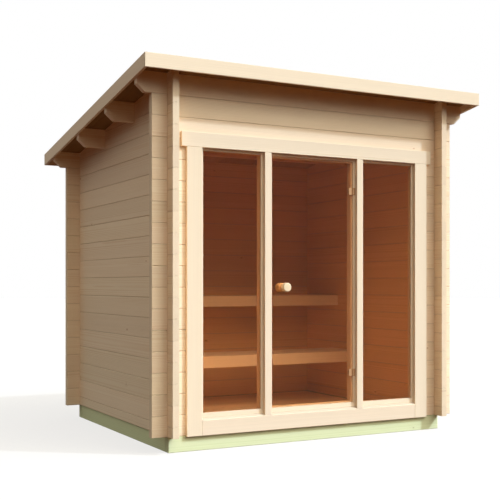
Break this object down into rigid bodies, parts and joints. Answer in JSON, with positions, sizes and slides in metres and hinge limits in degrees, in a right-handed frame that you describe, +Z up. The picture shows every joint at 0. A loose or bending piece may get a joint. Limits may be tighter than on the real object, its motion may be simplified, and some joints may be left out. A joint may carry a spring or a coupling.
{
  "type": "outdoor sauna cabin",
  "caption": "Log sauna cabin on a timber base, with a lean-to roof falling to the rear, a glazed front with a glass door and full-width benches inside.",
  "frame": {"origin": "on the ground, at the middle of the base", "axes": "+X to the right when facing the glazed front, +Y towards the rear, +Z up"},
  "size_m": [2.619, 2.201, 2.4642],
  "materials": {
    "log_spruce": "planed, untreated",
    "frame_spruce": "planed smooth, untreated",
    "deck_spruce": "planed, untreated",
    "floor_spruce": "planed, untreated",
    "bench_aspen": "sanded smooth",
    "knob_beech": "turned and sanded",
    "green_timber": "pressure treated, pale green",
    "bronze_glass": "bronze tinted, toughened",
    "roofing_felt": "fine mineral grit",
    "hinge_steel": "brushed"
  },
  "bodies": {
    "cabin": {"base_beam_front": "green_timber", "base_beam_rear": "green_timber", "base_beam_left": "green_timber", "base_beam_right": "green_timber", "floor_joists": "green_timber", "floor_boards": "floor_spruce", "left_wall": "log_spruce", "right_wall": "log_spruce", "rear_wall": "log_spruce", "front_wall_left": "log_spruce", "front_wall_right": "log_spruce", "front_wall_top": "log_spruce", "purlin_front": "log_spruce", "purlin_rear": "log_spruce", "roof_deck": "deck_spruce", "roof_felt": "roofing_felt", "fascia_front": "frame_spruce", "fascia_rear": "frame_spruce", "fascia_left": "frame_spruce", "fascia_right": "frame_spruce", "frame_head_board": "frame_spruce", "frame_jamb_left": "frame_spruce", "frame_jamb_right": "frame_spruce", "frame_bottom_rail": "frame_spruce", "frame_mullion_left": "frame_spruce", "frame_mullion_right": "frame_spruce", "window_beads_left": "frame_spruce", "window_beads_right": "frame_spruce", "window_pane_left": "bronze_glass", "window_pane_right": "bronze_glass", "door_lining": "frame_spruce", "hinge_brackets": "hinge_steel", "bench_upper_front": "bench_aspen", "bench_upper_seat": "bench_aspen", "bench_upper_bearers": "bench_aspen", "bench_lower_front": "bench_aspen", "bench_lower_seat": "bench_aspen", "bench_lower_bearers": "bench_aspen"},
    "door": {"door_glass": "bronze_glass", "door_knob_outer": "knob_beech", "door_knob_inner": "knob_beech", "door_hinges": "hinge_steel"}
  },
  "joints": [
    {"name": "door_hinge", "type": "hinge", "parent": "cabin", "child": "door", "pos_m": [0.3245, -0.91485, 0], "axis": [0, 0, 1], "range_deg": [0, 100]}
  ]
}
